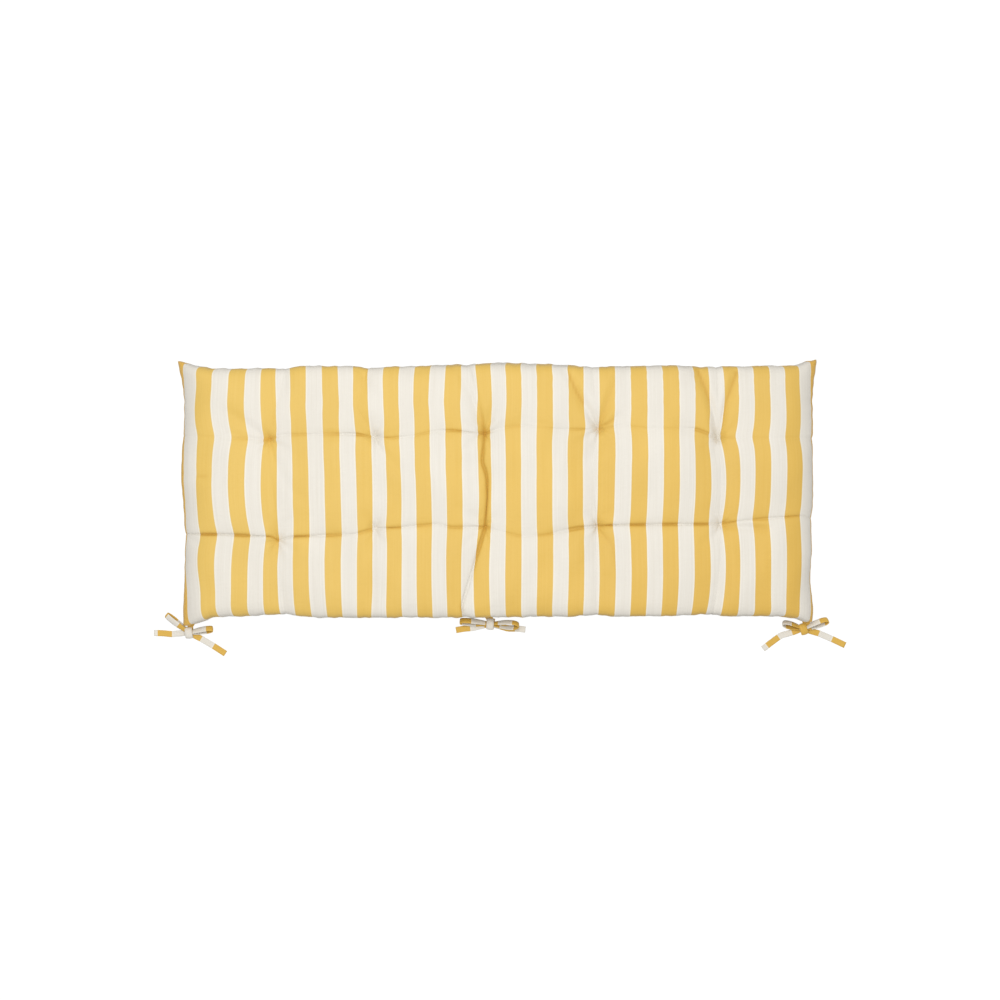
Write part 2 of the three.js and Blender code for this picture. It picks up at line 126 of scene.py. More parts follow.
COLUMN_FOLDS = (
    (
        (-397, 225, 5), (-406, 176, 4), (-425, 97, 6), (-422, 40, 2), (-412, -50, 2), (-410, -91, 8),
        (-409, -134, 5), (-395, -230, 6),
    ),
    (
        (-242, 230, 5), (-262, 156, 3), (-228, 102, 7), (-226, 60, 3), (-226, -30, 3), (-228, -68, 7),
        (-234, -121, 4), (-236, -235, 6),
    ),
    (
        (-47, 231, 3), (-32, 160, 1), (-23, 108, 8), (-28, 55, 8), (-18, 27, 9), (-18, -12, 10),
        (-22, -66, 9), (-38, -121, 8), (-66, -214, 9), (-62, -235, 10),
    ),
    (
        (178, 231, 3), (185, 160, 1), (190, 117, 7), (178, 55, 6), (184, -12, 7), (187, -63, 9),
        (183, -147, 4), (187, -234, 5),
    ),
    (
        (410, 231, 4), (412, 170, 3), (413, 101, 7), (417, 40, 5), (417, -7, 6), (415, -61, 9),
        (417, -121, 6), (410, -188, 6), (402, -230, 7),
    ),
)
KEEN_COLUMNS = (0.15, 0.1, 1.0, 0.35, 0.35)

# A keen fold's shoulders and slit, and a soft one's valley: half widths and shares of the fold's depth
FOLD_WIDTH, FOLD_SHARE = 20, 0.4
SLIT_WIDTH, SLIT_SHARE = 5, 0.3
VALLEY_WIDTH, VALLEY_SHARE, VALLEY_POWER = 30, 0.8, 1.5
SHARP_DEPTH = 6  # depth from which a keen fold keeps its line quite sharp

# Painted shade in the yellow along folds and creases: the widths of its bells, and the depth of a fold that shows
# it in full
FOLD_LINE_WIDTH, CREASE_LINE_WIDTH, FULL_SHADE_DEPTH = 3.4, 3.0, 9

# Shallow creases that cross the net: depth, half width, line in plan and how much painted shade shows in it
Crease = namedtuple("Crease", "depth width line dye", defaults=(0,))
CREASE_POWER = 1.6
CREASES = (
    Crease(6, 16, ((-504, 149), (-425, 97))),
    Crease(4, 18, ((-425, 97), (-409, 48), (-386, 7), (-365, -13))),
    Crease(3, 16, ((-504, 108), (-432, 100))),
    Crease(4, 18, ((-228, 102), (-204, 61), (-176, 35))),
    Crease(5, 16, ((-72, 229), (-49, 183), (-23, 108))),
    Crease(5, 16, ((7, 233), (6, 190), (-23, 108))),
    Crease(8, 14, ((129, 228), (147, 187), (172, 146), (190, 117)), 0.9),
    Crease(6, 14, ((228, 226), (208, 176), (190, 117)), 0.25),
    Crease(4, 12, ((191, 121), (208, 128), (228, 141)), 0.6),
    Crease(4, 14, ((187, -66), (215, -100), (222, -140)), 0.35),
    Crease(9, 14, ((373, 228), (388, 190), (402, 150), (413, 101)), 0.85),
    Crease(7, 12, ((446, 222), (427, 169), (413, 101)), 0.8),
    Crease(6, 12, ((423, -63), (464, -67), (504, -70)), 0.3),
    Crease(3, 12, ((-588, 35), (-541, 27)), 0.3),
    Crease(4, 12, ((-577, -87), (-558, -94))),
    Crease(3, 14, ((-255, 226), (-243, 196))),
)

# Grid of the cover: divisions of each bay across and down, and how far they crowd towards the bay's ends
COLUMN_DIVISIONS = (25, 27, 29, 30, 31, 26)
ROW_DIVISIONS = (22, 26, 26)
CROWDING = 0.68

# Powers of the rises from the side seams and the long ones and of a tuft's cone, and the seam's run from a tip
ROUND, LONG_RISE_POWER, TUFT_POWER = 2.0, 4.0, 1.7
SEAM_DROP_RUN = 70

# Width of the bell that eases the stripes at the rows of tufts, and how far from them it acts
ROW_EASE = 14
ROW_EASE_REACH = 36

# How firmly the cloth is held while it settles: on folds by their depth over HELD_DEPTH, fully on the seam, round
# the tufts and on the flat of the underside, and loosely elsewhere
HELD_FOLD, HELD_TOP, HELD_UNDERSIDE = 0.1, 0.08, 0.1
HELD_DEPTH, HELD_ROUND_TUFT, FLAT_FROM = 6, 6, 0.98
SETTLING = 0.012  # metres: the farthest a point of the cover settles from its drawn place
CLOTH = {
    "quality": 6, "mass": 0.3, "tension_stiffness": 20, "compression_stiffness": 20, "shear_stiffness": 8,
    "bending_stiffness": 1.0, "tension_damping": 10, "compression_damping": 10, "shear_damping": 10,
    "air_damping": 4, "use_pressure": True, "pin_stiffness": 1.0,
}

# Relief of the sewn cover: the cosines in a ripple, heights, runs, shortest and longest wavelengths, and the number
# and share of the pleats in each of a tuft's two fans
RIPPLE_COUNT = 14
PUCKER_HEIGHT, SIDE_PUCKER_HEIGHT, PUCKER_RUN, PUCKER_WAVES = 0.6, 0.3, 14, (16, 46)
CLOTH_WAVE_HEIGHT, CLOTH_WAVES = 0.7, (45, 120)
PLEAT_HEIGHT, PLEAT_RUN, PLEAT_FANS = 0.65, 13, ((5, 1), (8, 0.8))


def metres(name, description, default):
    """A length that a user can change."""
    return bpy.props.FloatProperty(name=name, description=description, default=default, unit="LENGTH")


def tint(name, description, default):
    """A colour that a user can change."""
    return bpy.props.FloatVectorProperty(name=name, description=description, default=default, subtype="COLOR")


class CushionSizes(bpy.types.PropertyGroup):
    """Sizes of the filled cover."""

    crown: metres("Crown", "Height of the fullest puff", 0.063)
    seam: metres("Seam", "Height of the seam along the sides", 0.025)
    seam_at_tip: metres("Seam at tip", "Height of the seam at the pointed corners", 0.013)
    rise_run: metres("Rise", "Distance from a side seam in which the top rises", 0.070)
    long_rise_run: metres("Front and back rise", "Distance from these two seams in which the top rises", 0.046)
    underside_run: metres("Underside curve", "Distance from the seam in which the underside comes down", 0.062)
    dome: metres("Dome", "Height of each puff over its edges", 0.002)
    tuft_depth: metres("Tuft depth", "Depth of the hollow round a tuft", 0.005)
    tuft_radius: metres("Tuft radius", "Radius of the hollow round a tuft", 0.052)
    stitch_depth: metres("Stitch depth", "Depth to which the tuft's own stitch pulls", 0.005)
    stitch_radius: metres("Stitch radius", "Radius in which the tuft's own stitch pulls", 0.018)
    dimple: metres("Dimple", "Depth of a tuft in the underside", 0.007)
    dimple_radius: metres("Dimple radius", "Radius of a tuft in the underside", 0.034)
    pressure: bpy.props.FloatProperty(
        name="Filling", description="Pressure of the filling while the cover settles", default=3.0
    )
    settle_frames: bpy.props.IntProperty(
        name="Settling", description="Steps in which the cover settles over its filling", default=24
    )


def millimetres(value):
    """A property in metres as millimetres."""
    return value / MM


def net_array():
    """The net as an array of lines by rows by (x, y, u, v), a tuft's v following its own plan y."""
    net = np.zeros((len(LINES), ROW_BAYS + 1, 4))
    for i, line in enumerate(LINES):
        for j, point in enumerate((line.back, line.rear, line.fore, line.front)):
            net[i, j, :3] = point
            net[i, j, 3] = PANEL_V[j] + (point[1] - ROW_Y[j] if 0 < j < ROW_BAYS else 0)
    return net


NET = net_array()
BACK_BULGE = np.array([line.back_bulge for line in LINES], float)
FRONT_BULGE = np.array([line.front_bulge for line in LINES], float)
TUFTS = NET[1:-1, 1:-1, :2].reshape(-1, 2)


def bay_of(position, bays):
    """The whole part of a position, kept inside the last bay, and the share left over."""
    bay = np.clip(position.astype(int), 0, bays - 1)
    return bay, position - bay


def swell(share):
    """Zero at both ends of a bay and one in its middle: four times the share times its complement."""
    return 4 * share * (1 - share)


def seam_swell(share):
    """The same with a fuller middle and quicker ends."""
    return swell(share) ** 0.5


def fade(distance):
    """One on a seam, falling as a square to zero one bay inside it."""
    return np.clip(1 - distance, 0, 1) ** 2


def fold_value(place, fold, along, value):
    """A value at each place along a fold, on the broken line through the fold's points."""
    points = np.array(fold, float)[:, (along, value)]
    return np.interp(place, *points[np.argsort(points[:, 0])].T)


def hat(distance):
    """One on a line of the net, falling as a raised cosine to zero one bay away."""
    return 0.5 + 0.5 * np.cos(math.pi * np.clip(np.abs(distance), 0, 1))


def straight_net(s, t, across, down):
    """Blend of the four net points round each place, by the given shares of its bay."""
    column, row = bay_of(s, COLUMN_BAYS)[0], bay_of(t, ROW_BAYS)[0]
    across, down = across[..., None], down[..., None]
    near, far = (NET[column, k] * (1 - across) + NET[column + 1, k] * across for k in (row, row + 1))
    return np.moveaxis(near * (1 - down) + far * down, -1, 0)


def fold_bend(s, t, x, y):
    """How far each place of the straight net moves so that its lines run along the folds: a fold's distance
    from its straight line, faded by a raised cosine to the next line."""
    dx, dy = np.zeros(x.shape), np.zeros(x.shape)
    for j, fold in enumerate(ROW_FOLDS, 1):
        dy = dy + hat(t - j) * (fold_value(x, fold, 0, 1) - np.interp(x, *NET[:, j, :2].T))
    for i, fold in enumerate(COLUMN_FOLDS, 1):
        dx = dx + hat(s - i) * (fold_value(y, fold, 1, 0) - np.interp(y, *NET[i, ::-1, 1::-1].T))
    return dx, dy


def ear_pulls(x, y, spread=1.0):
    """Each ear with its pull at every place, an exponential of a power of the distance from its corner."""
    for ear in EARS:
        corner = NET[ear.column, ear.row]
        yield ear, np.exp(-((np.hypot(x - corner[0], y - corner[1]) / (spread * ear.run)) ** ear.power))


def plan_point(s, t):
    """Plan x and y at s columns from the left and t rows from the back: the net's points blended in straight
    lines and bent onto the folds, each bay's seam swelled as the root of a parabola, and each corner pulled out
    to its tip by an exponential of the distance."""
    column, across = bay_of(s, COLUMN_BAYS)
    row, down = bay_of(t, ROW_BAYS)
    x, y = straight_net(s, t, across, down)[:2]
    dx, dy = fold_bend(s, t, x, y)
    right = np.take(RIGHT_BULGE, row) * fade(COLUMN_BAYS - s)
    left = np.take(LEFT_BULGE, row) * fade(s)
    dx = dx + seam_swell(down) * (right - left)
    dy = dy + seam_swell(across) * (BACK_BULGE[column] * fade(t) - FRONT_BULGE[column] * fade(ROW_BAYS - t))
    for ear, pull in ear_pulls(x, y):
        dx, dy = dx + ear.dx * pull, dy + ear.dy * pull
    return x + dx, y + dy


def rise(distance, run, power=ROUND):
    """A quarter of an ellipse, boxier for a power over two: zero on the seam, one from the given run inwards."""
    left = 1 - np.clip(distance / run, 0, 1)
    return (1 - left**power) ** (1 / power)


def fold_section(distance, keen):
    """A fold's section, deepest on its line, blended by how keen the fold is: two round shoulders and a slit,
    each a quarter ellipse, or a soft valley, a power of a raised cosine."""
    away = np.abs(distance)
    sharp = FOLD_SHARE * (1 - rise(away, FOLD_WIDTH)) + SLIT_SHARE * (1 - rise(away, SLIT_WIDTH))
    soft = hat(distance / VALLEY_WIDTH) ** VALLEY_POWER
    return keen * sharp + (1 - keen) * VALLEY_SHARE * soft


def fold_depth(s, t, x, y):
    """Depth of the folds along the net's lines: each one's depth times its section, joined as the root of the
    sum of their squares. Also the depth of the keen ones alone, and bells of painted shade along their lines."""
    folds = []
    for j, fold in enumerate(ROW_FOLDS, 1):
        line_x, line_y = plan_point(s, np.full(s.shape, float(j)))
        folds.append((fold_value(line_x, fold, 0, 2), y - line_y, 1.0))
    for i, fold in enumerate(COLUMN_FOLDS, 1):
        line_x, line_y = plan_point(np.full(s.shape, float(i)), t)
        folds.append((fold_value(line_y, fold, 1, 2), x - line_x, KEEN_COLUMNS[i - 1]))
    total, keenest, line = np.zeros((3, *x.shape))
    for depth, away, keen in folds:
        sunk = depth * fold_section(away, keen)
        total = total + sunk**2
        keenest = np.maximum(keenest, sunk * keen)
        # Bells of painted shade along each keen fold's line
        line = np.maximum(line, depth * keen * np.exp(-((away / FOLD_LINE_WIDTH) ** 2)))
    return np.sqrt(total), keenest, line


def distance_to_line(x, y, line):
    """Distance to a broken line: the least over its segments, each share clipped to the segment."""
    least = np.full(x.shape, np.inf)
    for (x0, y0), (x1, y1) in zip(line, line[1:]):
        dx, dy = x1 - x0, y1 - y0
        share = np.clip(((x - x0) * dx + (y - y0) * dy) / (dx**2 + dy**2), 0, 1)
        least = np.minimum(least, np.hypot(x - x0 - share * dx, y - y0 - share * dy))
    return least


def creases(x, y):
    """The creases that cross the net: their depth, troughs that fall off as a power within their half width, and
    their painted shade, narrow bells round their lines."""
    depths, widths, lines, dyes_and_shades = zip(*CREASES)
    aside = [distance_to_line(x, y, line) for line in lines]
    shares = [np.clip(1 - away / width, 0, 1) for away, width in zip(aside, widths)]
    troughs = [depth * share**CREASE_POWER for depth, share in zip(depths, shares)]
    # Painted shade: narrow bells round each crease's line
    bells = [dye_and_shade * np.exp(-((away / CREASE_LINE_WIDTH) ** 2)) for dye_and_shade, away in zip(dyes_and_shades, aside)]
    return np.max(troughs, axis=0), np.max(bells, axis=0)


def nearest(x, y, places):
    """Distance to the nearest of some places in plan."""
    return np.min([np.hypot(x - px, y - py) for px, py in places], axis=0)


def tuft_pull(x, y, depth, radius):
    """How far the nearest tuft draws a surface in: a cone with hollow sides, for sizes in metres."""
    return millimetres(depth) * np.clip(1 - nearest(x, y, TUFTS) / millimetres(radius), 0, 1) ** TUFT_POWER


def seam_height(x, y, sizes):
    """The seam's height: level along the sides, falling exponentially towards the nearest tip."""
    tips = [plan_point(np.array(float(ear.column)), np.array(float(ear.row))) for ear in EARS]
    side, tip = millimetres(sizes.seam), millimetres(sizes.seam_at_tip)
    return side - (side - tip) * np.exp(-nearest(x, y, tips) / SEAM_DROP_RUN)


def cover_form(s, t, sizes):
    """Plan, heights of top and underside, folds and distances from the edges over the net, in millimetres.

    The top rises from each seam as a quarter ellipse, boxier from the two long ones, multiplied together, less
    folds, creases and tufts. The underside comes down from the seam in the same way and is flat inside that.
    """
    x, y = plan_point(s, t)
    zeros = np.zeros(s.shape)
    inward = (
        plan_point(s, zeros)[1] - y,
        y - plan_point(s, zeros + ROW_BAYS)[1],
        x - plan_point(zeros, t)[0],
        plan_point(zeros + COLUMN_BAYS, t)[0] - x,
    )
    seam = seam_height(x, y, sizes)
    runs = (millimetres(sizes.long_rise_run),) * 2 + (millimetres(sizes.rise_run),) * 2
    powers = (LONG_RISE_POWER,) * 2 + (ROUND,) * 2
    full = np.prod([rise(*edge) for edge in zip(inward, runs, powers)], axis=0)
    flat = np.prod([rise(distance, millimetres(sizes.underside_run)) for distance in inward], axis=0)
    puff = np.sqrt(swell(bay_of(s, COLUMN_BAYS)[1]) * swell(bay_of(t, ROW_BAYS)[1]))
    folds, keen, line = fold_depth(s, t, x, y)
    sunk = folds + creases(x, y)[0] + millimetres(sizes.dome) * (1 - puff)
    broad = tuft_pull(x, y, sizes.tuft_depth, sizes.tuft_radius)
    knot = tuft_pull(x, y, sizes.stitch_depth, sizes.stitch_radius)
    dimple = tuft_pull(x, y, sizes.dimple, sizes.dimple_radius)
    return {
        "x": x,
        "y": y,
        "top": seam + (millimetres(sizes.crown) - seam) * full - broad - knot - sunk * full,
        "underside": seam * (1 - flat) + dimple,
        "flat": flat,
        "folds": folds,
        "keen": keen,
        # Bells of painted shade along the keen folds
        "line": line * full,
        "long_edge": np.minimum(inward[0], inward[1]),
        "short_edge": np.minimum(inward[2], inward[3]),
    }


def grid_lines(divisions):
    """Positions of the grid's lines: each bay split into steps that a sine crowds towards its two ends."""
    lines = []
    for bay, count in enumerate(divisions):
        share = np.arange(count) / count
        lines.append(bay + share - CROWDING * np.sin(2 * math.pi * share) / (2 * math.pi))
    return np.concatenate(lines + [[len(divisions)]])


def cloth_share(lines, bays, length):
    """Share of its bay's cloth used up at each grid line, for each row of lengths between the lines."""
    used = np.concatenate([np.zeros((len(length), 1)), np.cumsum(length, axis=1)], axis=1)
    bay = np.clip(lines.astype(int), 0, bays - 1)
    start, end = np.searchsorted(lines, bay), np.searchsorted(lines, bay + 1)
    return (used - used[:, start]) / (used[:, end] - used[:, start])


def panel_places(s_line, t_line, form):
    """Panel u and v of each grid point. Within a bay the cloth is shared out by the surface's length along each
    line of the grid, so that it is spent on steep sides and in folds."""
    surface = np.stack([form[key] for key in ("x", "y", "top")])
    across = cloth_share(s_line, COLUMN_BAYS, np.sqrt((np.diff(surface, axis=2) ** 2).sum(axis=0)))
    down = cloth_share(t_line, ROW_BAYS, np.sqrt((np.diff(surface, axis=1) ** 2).sum(axis=0)).T).T
    s, t = np.meshgrid(s_line, t_line)
    x, y = straight_net(s, t, bay_of(s, COLUMN_BAYS)[1], bay_of(t, ROW_BAYS)[1])[:2]
    u, v = straight_net(s, t, across, down)[2:]
    du, dv = fold_bend(s, t, x, y)
    for ear, pull in ear_pulls(x, y, EAR_CLOTH_SPREAD):
        du = du + ear.cloth * pull
    return u + du, v + dv


def slip(s, t):
    """The slip of the stripes: over each bay a parabola through the values at its ends and its middle."""

    def weights(position, bays):
        bay, share = bay_of(position, bays)
        table = np.zeros((*position.shape, 2 * bays + 1))
        middle = swell(share)
        for step, weight in ((0, 1 - share - middle / 2), (1, middle), (2, share - middle / 2)):
            np.put_along_axis(table, (2 * bay + step)[..., None], weight[..., None], axis=-1)
        return table

    return np.einsum("...j,ji,...i->...", weights(t, ROW_BAYS), SLIP, weights(s, COLUMN_BAYS))


def eased_at_rows(values, y):
    """Values smoothed down each column by a bell of the distance in y, near the two rows of tufts alone, so that
    the stripes bend there and do not break."""
    bell = np.exp(-(((y[:, None] - y[None]) / ROW_EASE) ** 2)) * np.abs(np.gradient(y, axis=0))[None]
    smooth = (bell * values[None]).sum(axis=1) / bell.sum(axis=1)
    rows = y[np.cumsum(ROW_DIVISIONS)[:-1]]
    near = np.exp(-(((y[None] - rows[:, None]) / ROW_EASE_REACH) ** 2)).max(axis=0)
    return values + near * (smooth - values)


def grid_quads(grid):
    """The quads of a grid of point numbers whose rows run from back to front, facing up."""
    return np.stack([grid[1:, :-1], grid[1:, 1:], grid[:-1, 1:], grid[:-1, :-1]], axis=-1).reshape(-1, 4)


def cover_grid():
    """Index arrays of the two panels on one grid, which share the vertices of the seam, and the quads."""
    columns, rows = sum(COLUMN_DIVISIONS) + 1, sum(ROW_DIVISIONS) + 1
    top = np.arange(rows * columns).reshape(rows, columns)
    inside = np.zeros((rows, columns), bool)
    inside[1:-1, 1:-1] = True
    under = top.copy()
    under[inside] = top.size + np.arange(inside.sum())
    quads = np.concatenate([grid_quads(top), grid_quads(under)[:, ::-1]])
    return top, under, inside, quads


def in_scene(name, data):
    """A new object of the scene from its data."""
    made = bpy.data.objects.new(name, data)
    bpy.context.scene.collection.objects.link(made)
    return made


def mesh_object(name, points, faces, smooth=True):
    """A mesh object at the origin from an array of points in metres and an array of faces."""
    mesh = bpy.data.meshes.new(name)
    mesh.from_pydata(points, [], faces)
    mesh.validate()
    mesh.update()
    mesh.polygons.foreach_set("use_smooth", np.full(len(mesh.polygons), smooth))
    return in_scene(name, mesh)


def read(items, key, width=1, kind=np.float32):
    """One number, or a row of them, from each of a mesh's points, edges or corners, as an array."""
    values = np.zeros(len(items) * width, kind)
    items.foreach_get(key, values)
    return values.reshape(-1, width) if width > 1 else values


def set_uv(made, name, uv):
    """Gives each corner of each face the panel place of its vertex, in metres."""
    layer = made.data.uv_layers.new(name=name)
    corner = read(made.data.loops, "vertex_index", kind=np.int32)
    layer.data.foreach_set("uv", uv[corner].astype(np.float32).ravel())


def coordinates(mesh):
    """A mesh's vertices as an array, in metres."""
    return read(mesh.vertices, "co", 3).astype(float)


def move_points(made, points):
    """Puts the object's points at new places, in metres."""
    made.data.vertices.foreach_set("co", points.astype(np.float32).ravel())
    made.data.update()


def evaluated(made):
    """The object with its modifiers carried out."""
    return made.evaluated_get(bpy.context.evaluated_depsgraph_get())


def weight_group(made, name, weights, levels=20):
    """A vertex group whose weights are rounded to a few levels, so that each is set in one call."""
    group = made.vertex_groups.new(name=name)
    rounded = np.round(weights * levels).astype(int)
    for level in range(1, levels + 1):
        members = np.nonzero(rounded == level)[0]
        if len(members):
            group.add(members.tolist(), level / levels, "REPLACE")
    return group


def settle(made, held, flat_panels, sizes):
    """Lets the cover settle over its filling and returns its points: cloth cut as two flat panels, blown up
    from inside and held in the given share at each point."""
    made.shape_key_add(name="Basis")
    flat = made.shape_key_add(name="flat_panels")
    flat.data.foreach_set("co", flat_panels.astype(np.float32).ravel())
    made.active_shape_key_index = 0
    group = weight_group(made, "held", held)
    cloth = made.modifiers.new("settling", "CLOTH")
    settings = cloth.settings
    for key, value in CLOTH.items():
        setattr(settings, key, value)
    settings.uniform_pressure_force = sizes.pressure
    settings.vertex_group_mass = group.name
    settings.rest_shape_key = flat
    settings.effector_weights.gravity = 0
    cloth.collision_settings.use_collision = False
    cloth.point_cache.frame_start = 1
    cloth.point_cache.frame_end = sizes.settle_frames
    scene = bpy.context.scene
    for step in range(1, sizes.settle_frames + 1):
        scene.frame_set(step)
    points = coordinates(evaluated(made).data)
    made.modifiers.remove(cloth)
    made.shape_key_clear()
    made.vertex_groups.remove(group)
    scene.frame_set(1)
    return points


def sharpen(made, keen):
    """Keeps edges from being rounded off, each by the lesser keenness of its two ends."""
    mesh = made.data
    ends = read(mesh.edges, "vertices", 2, np.int32)
    sharp = mesh.attributes.new("crease_edge", "FLOAT", "EDGE")
    sharp.data.foreach_set("value", keen[ends].min(axis=1).astype(np.float32))


def subdivide(made):
    """Rounds the mesh by one smoothing subdivision, which puts a new point in each edge and face."""
    modifier = made.modifiers.new("rounding", "SUBSURF")
    modifier.levels = modifier.render_levels = 1
    modifier.uv_smooth = "PRESERVE_BOUNDARIES"
    spare, made.data = made.data, bpy.data.meshes.new_from_object(evaluated(made))
    made.modifiers.remove(modifier)
    made.data.name = made.name
    bpy.data.meshes.remove(spare)


def ripples(x, y, wavelengths, seed):
    """Soft random waves of about unit height: a sum of plane cosines in random directions, of wavelengths
    between the two given. Where y is None they all run along x."""
    random = np.random.default_rng(seed)
    total = np.zeros(np.shape(x))
    for _ in range(RIPPLE_COUNT):
        turn = random.uniform(0, math.pi)
        length = random.uniform(*wavelengths)
        phase = random.uniform(0, 2 * math.pi)
        place = x if y is None else x * math.cos(turn) + y * math.sin(turn)
        total = total + np.cos(2 * math.pi * place / length + phase)
    return total / math.sqrt(RIPPLE_COUNT / 2)


def point_values(made, name):
    """The values of a point attribute as an array."""
    return read(made.data.attributes[name].data, "value").astype(float)


def set_points(made, name, values):
    """Stores one number for each point under a name."""
    attribute = made.data.attributes.get(name) or made.data.attributes.new(name, "FLOAT", "POINT")
    attribute.data.foreach_set("value", values.astype(np.float32))


def gather(cover):
    """Fine relief of the sewn cover, along the surface's normals: puckers that die out exponentially from the
    seam, pleats round each tuft as cosines of the angle, and soft waves in the top. The creases' painted shade is
    stored here too."""
    points = coordinates(cover.data) / MM
    normals = read(cover.data.vertices, "normal", 3).astype(float)
    x, y = points[:, 0], points[:, 1]
    relief = np.zeros(len(points))
    seams = (("long_edge", x, PUCKER_HEIGHT, SEED), ("short_edge", y, SIDE_PUCKER_HEIGHT, SEED + 1))
    for edge, along, tall, seed in seams:
        near = np.exp(-point_values(cover, edge) / PUCKER_RUN)
        relief += tall * near * ripples(along, None, PUCKER_WAVES, seed)
    top = point_values(cover, "under") < 0.5
    # The creases' painted shade joins the folds' on the top
    dye_and_shade = np.where(top, creases(x, y)[1], 0)
    set_points(cover, "painted_fold_shade", np.maximum(point_values(cover, "painted_fold_shade"), dye_and_shade))
    relief += np.where(top, CLOTH_WAVE_HEIGHT * ripples(x, y, CLOTH_WAVES, SEED + 2), 0)
    random = np.random.default_rng(SEED + 3)
    for tuft_x, tuft_y in TUFTS:
        away = np.hypot(x - tuft_x, y - tuft_y) / PLEAT_RUN
        angle = np.arctan2(y - tuft_y, x - tuft_x)
        starts = random.uniform(0, 2 * math.pi, 2)
        fan = sum(share * np.cos(count * angle + start) for (count, share), start in zip(PLEAT_FANS, starts))
        relief += np.where(top, PLEAT_HEIGHT * fan * away * np.exp(1 - away), 0)
    points += normals * relief[:, None]
    points[:, 2] = np.maximum(points[:, 2], 0)
    move_points(cover, points * MM)


def make_cover(sizes, colours):
    """The filled cover: two panels on one seam, settled over the filling, with its folds and gathers."""
    top, under, inside, quads = cover_grid()
    s_line, t_line = grid_lines(COLUMN_DIVISIONS), grid_lines(ROW_DIVISIONS)
    s, t = np.meshgrid(s_line, t_line)
    form = cover_form(s, t, sizes)
    u, v = panel_places(s_line, t_line, form)
    print_u = form["x"] + eased_at_rows(u + slip(s, t) - form["x"], form["y"])

    def on_points(upper, lower=None):
        """Brings the top's values, and the underside's where they differ, to the mesh's points."""
        values = np.zeros(top.size + inside.sum())
        values[top] = upper
        values[under[inside]] = np.broadcast_to(upper if lower is None else lower, top.shape)[inside]
        return values

    points = np.stack([on_points(form["x"]), on_points(form["y"]), on_points(form["top"], form["underside"])], 1)
    cover = mesh_object("cover", points * MM, quads)
    set_uv(cover, "panel", np.stack([on_points(print_u), on_points(v)], 1) * MM)
    set_points(cover, "under", on_points(0, 1))
    # Painted shade in the yellow along the keen folds, none on the underside
    set_points(cover, "painted_fold_shade", on_points(np.clip(form["line"] / FULL_SHADE_DEPTH, 0, 1), 0))
    for name in ("long_edge", "short_edge"):
        set_points(cover, name, on_points(form[name]))
    on_fold = (np.abs(s - np.round(s)) < 1e-6) | (np.abs(t - np.round(t)) < 1e-6)
    start = settled = coordinates(cover.data)
    held = np.where(on_fold, np.clip(form["folds"] / HELD_DEPTH, HELD_FOLD, 1), HELD_TOP)
    held[~inside | (nearest(form["x"], form["y"], TUFTS) < HELD_ROUND_TUFT)] = 1
    held = on_points(held, np.where(form["flat"] > FLAT_FROM, 1.0, HELD_UNDERSIDE))
    panels = np.stack([on_points(u), on_points(v), on_points(0)], 1)
    move = settle(cover, held, panels * MM, sizes) - start
    far = np.linalg.norm(move, axis=1, keepdims=True)
    settled = start + move * np.minimum(1, SETTLING / np.maximum(far, 1e-9))
    settled[:, 2] = np.maximum(settled[:, 2], 0)
    move_points(cover, settled)
    keen = np.where(on_fold, np.clip(form["keen"] / SHARP_DEPTH, 0, 1), 0)
    sharpen(cover, on_points(np.where(inside, keen, 1), 0))
    subdivide(cover)
    gather(cover)
    cover.data.materials.append(striped_cloth("striped_cover", colours))
    return cover


# Ties: the tape, the pitch of its stripes, how much darker its stripes are than the cover's, partly a deeper dye
# and partly painted shade, the hollow over its width, the share of the width left in a knot, and the gap to the
# floor
TIE_WIDTH, TIE_THICKNESS = 11.6, 1.3
TIE_STRIPE, TIE_DYE_AND_SHADE = 54, (0.92, 0.84, 0.62)
TIE_CUP, PINCH, FLOOR_GAP = 0.6, 0.62, 0.9

# Knots: their height, half the width and height of the turn of tape round them, its overlap in radians, its
# drift along the bow, its width over the tape's and its cup
KNOT_HEIGHT, KNOT_REACH = 6.5, (9.6, 5.0)
KNOT_OVERLAP, KNOT_DRIFT, KNOT_WIDTH, KNOT_CUP = 0.3, 1.2, 1.2, -1.1

# Cross-sections along a lead, a loop, a free end and a knot's turn
LEAD_STEPS, LOOP_STEPS, TAIL_STEPS, KNOT_STEPS = 12, 56, 40, 60

# Leads from the seam to the knot: their heights on the way, shares of the width at both ends, colour phase, and
# how far each stands to its side
LEAD_HEIGHTS, LEAD_WIDTHS, LEAD_PHASE, LEAD_ASIDE = (9, 8.5, 7.5), (0.9, 0.6), 20, 3

# The bows. A loop is its length, its direction in plan, its opening, its tilt about its own length and the
# colour phase at its end. A tail is the x and y of its points beyond the knot and the phase at its end.
Loop = namedtuple("Loop", "length turn opening tilt phase")
Tail = namedtuple("Tail", "line phase")
Bow = namedtuple("Bow", "side x y lead knot_turn knot_phase left_loop right_loop left_tail right_tail")
BOWS = (
    Bow(
        "left", -580.5, -266, (-577, -248), 4, 20,
        Loop(54, 141.5, 7, -28, 25), Loop(45, 9, 9, -34, 7),
        Tail(((-34, -3), (-67, -1)), 34), Tail(((24, -13), (68, -40)), 27),
    ),
    Bow(
        "middle", -12.5, -249.5, (-15, -236), -6, 25,
        Loop(57, 175, 10, 34, 10), Loop(53, -3, 14, -48, 15),
        Tail(((-34, -8), (-65, -12)), 27), Tail(((34, -9), (66, -11)), 47),
    ),
    Bow(
        "right", 578, -259, (583, -246), 18, 47,
        Loop(41, 165, 10, 52, 26), Loop(48, 20, 12, -42, 7),
        Tail(((-42, -13), (-76, -38)), 37), Tail(((30, -9), (79, -31)), 27),
    ),
)


